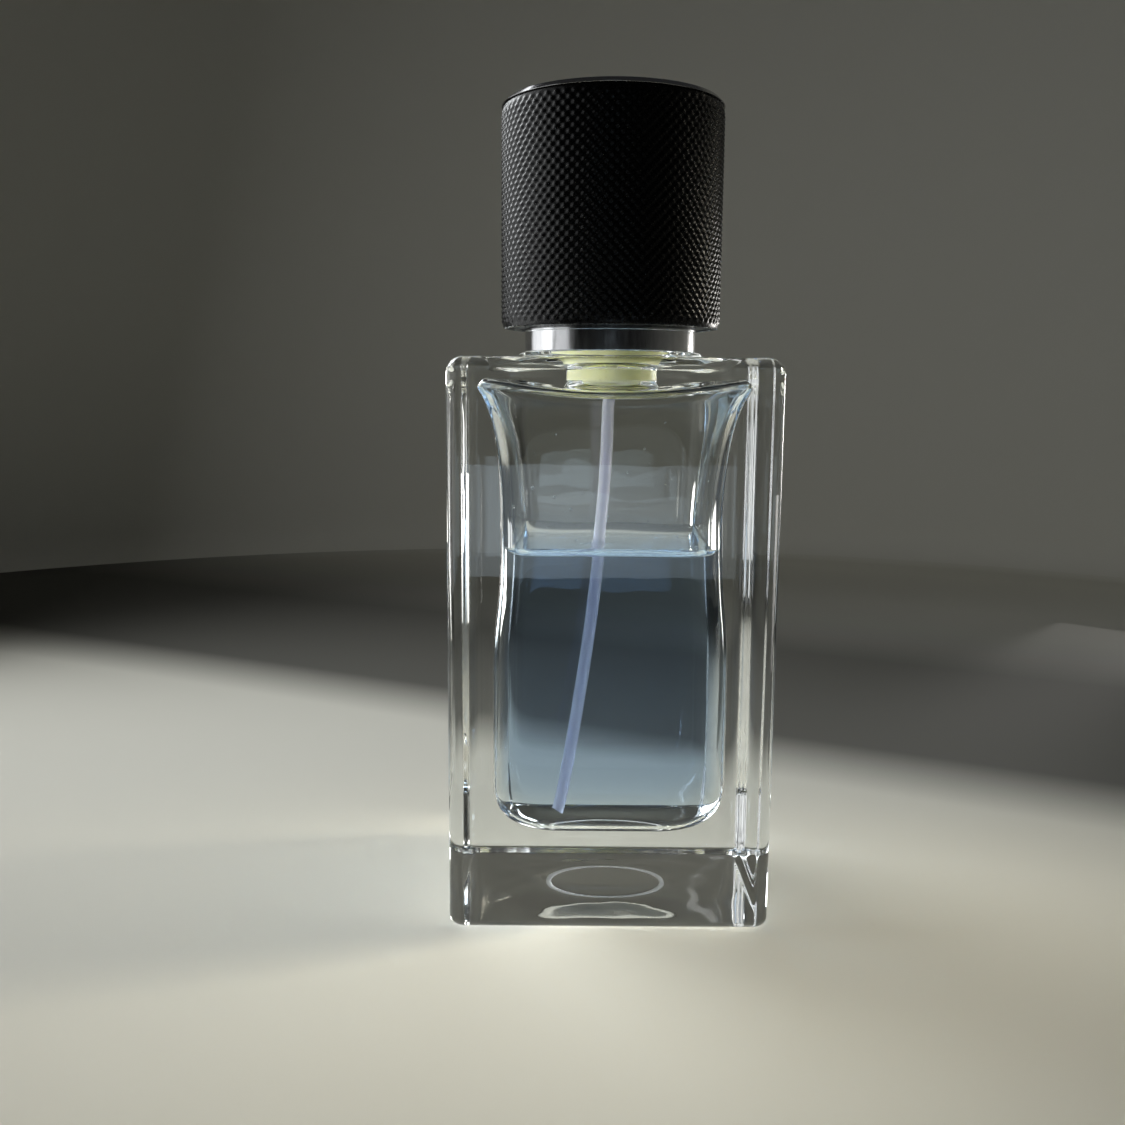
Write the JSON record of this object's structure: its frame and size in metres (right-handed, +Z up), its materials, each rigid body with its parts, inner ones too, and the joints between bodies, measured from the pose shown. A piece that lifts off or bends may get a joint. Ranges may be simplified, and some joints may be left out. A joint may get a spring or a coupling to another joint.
{
  "type": "aftershave bottle",
  "caption": "Square thick-walled clear glass flacon with a crimped spray pump on a round metal collar and a pull-off round cap with a diamond knurl, part filled with pale blue liquid.",
  "frame": {"origin": "centre of the base, on the surface that the bottle stands on", "axes": "+Z up along the neck, -Y the front face that the spray leaves by, +X to the right seen from the front"},
  "size_m": [0.05, 0.05, 0.1285],
  "materials": {
    "clear_glass": "fire-polished flint glass",
    "blue_liquid": "clear pale blue liquid",
    "natural_tube": "translucent extruded polyethylene",
    "natural_plastic": "milky natural polypropylene",
    "white_plastic": "moulded, fine matt",
    "seal_rubber": "soft grey-white elastomer",
    "steel": "bright stainless",
    "satin_aluminium": "satin, drawn",
    "polished_aluminium": "bright polished and anodised",
    "black_anodised": "satin black anodised, diamond knurled",
    "black_polished": "black anodised, bright turned edge",
    "black_plastic": "moulded black"
  },
  "bodies": {
    "bottle": {"bottle_glass": "clear_glass", "aftershave_fill": "blue_liquid", "dip_tube": "natural_tube", "neck_gasket": "seal_rubber", "crimp_ferrule": "satin_aluminium", "collar_ring": "polished_aluminium", "collar_insert": "natural_plastic", "pump_housing": "natural_plastic", "pump_turret": "white_plastic", "return_spring": "steel"},
    "inlet_ball": {"inlet_ball": "steel"},
    "stem": {"pump_stem": "white_plastic", "valve_pin": "white_plastic", "piston_spring": "steel"},
    "piston": {"pump_piston": "white_plastic"},
    "button": {"actuator_core": "white_plastic", "actuator_shell": "polished_aluminium", "nozzle_insert": "white_plastic"},
    "cap": {"cap_sleeve": "black_anodised", "cap_top_disc": "black_polished", "cap_liner": "black_plastic", "cap_weight": "steel"}
  },
  "joints": [
    {"name": "press", "type": "slide", "parent": "bottle", "child": "stem", "axis": [0, 0, -1], "range_m": [0, 0.0033], "stiffness_N_per_m": 3000, "deforming": ["return_spring"]},
    {"name": "outlet_lift", "type": "slide", "parent": "stem", "child": "piston", "axis": [0, 0, 1], "range_m": [0, 0.0005], "stiffness_N_per_m": 2000, "deforming": ["piston_spring"]},
    {"name": "inlet_lift", "type": "slide", "parent": "bottle", "child": "inlet_ball", "axis": [0, 0, 1], "range_m": [0, 0.0006]},
    {"name": "button_turn", "type": "hinge", "parent": "stem", "child": "button", "pos_m": [0, 0, 0.1075], "axis": [0, 0, 1], "continuous": true},
    {"name": "cap_pull", "type": "slide", "parent": "bottle", "child": "cap", "axis": [0, 0, 1], "range_m": [0, 0.045]}
  ]
}
